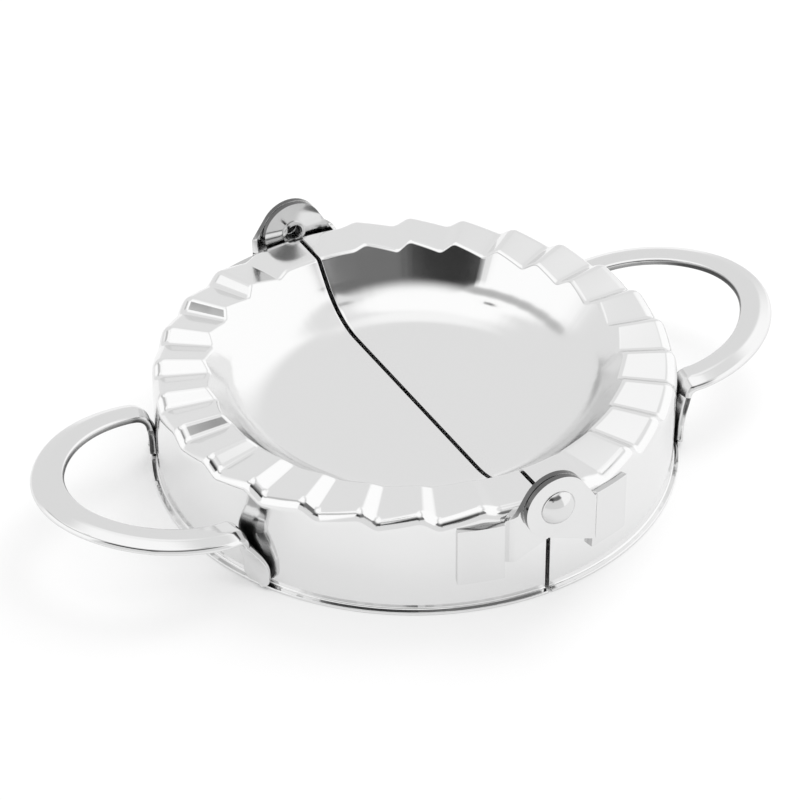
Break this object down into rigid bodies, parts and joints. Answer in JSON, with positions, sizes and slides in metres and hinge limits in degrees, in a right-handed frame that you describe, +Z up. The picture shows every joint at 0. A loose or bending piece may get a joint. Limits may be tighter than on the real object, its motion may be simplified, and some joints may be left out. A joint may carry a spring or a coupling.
{
  "type": "folding dough press",
  "caption": "Folding press for filled dough turnovers: round stamped steel dish split in two halves, with meshing toothed rims, riveted side hinges and a bent strip loop handle on each half",
  "frame": {"origin": "centre of the round base, on the table, with the press opened flat", "axes": "+X towards the right handle, +Y along the hinge line to the back hinge, +Z up"},
  "size_m": [0.1508, 0.1064, 0.0265],
  "materials": {
    "shell_steel": "mirror polished stainless sheet",
    "handle_steel": "polished stainless strip",
    "hinge_steel": "polished stainless sheet",
    "rivet_steel": "bright formed stainless rivet"
  },
  "bodies": {
    "left_half": {"left_shell": "shell_steel", "left_handle": "handle_steel", "front_inner_hinge_plate": "hinge_steel", "back_outer_hinge_plate": "hinge_steel", "front_rivet": "rivet_steel"},
    "right_half": {"right_shell": "shell_steel", "right_handle": "handle_steel", "front_outer_hinge_plate": "hinge_steel", "back_inner_hinge_plate": "hinge_steel", "back_rivet": "rivet_steel"}
  },
  "joints": [
    {"name": "fold", "type": "hinge", "parent": "left_half", "child": "right_half", "pos_m": [0, 0, 0.02025], "axis": [0, -1, 0], "range_deg": [0, 180]}
  ]
}
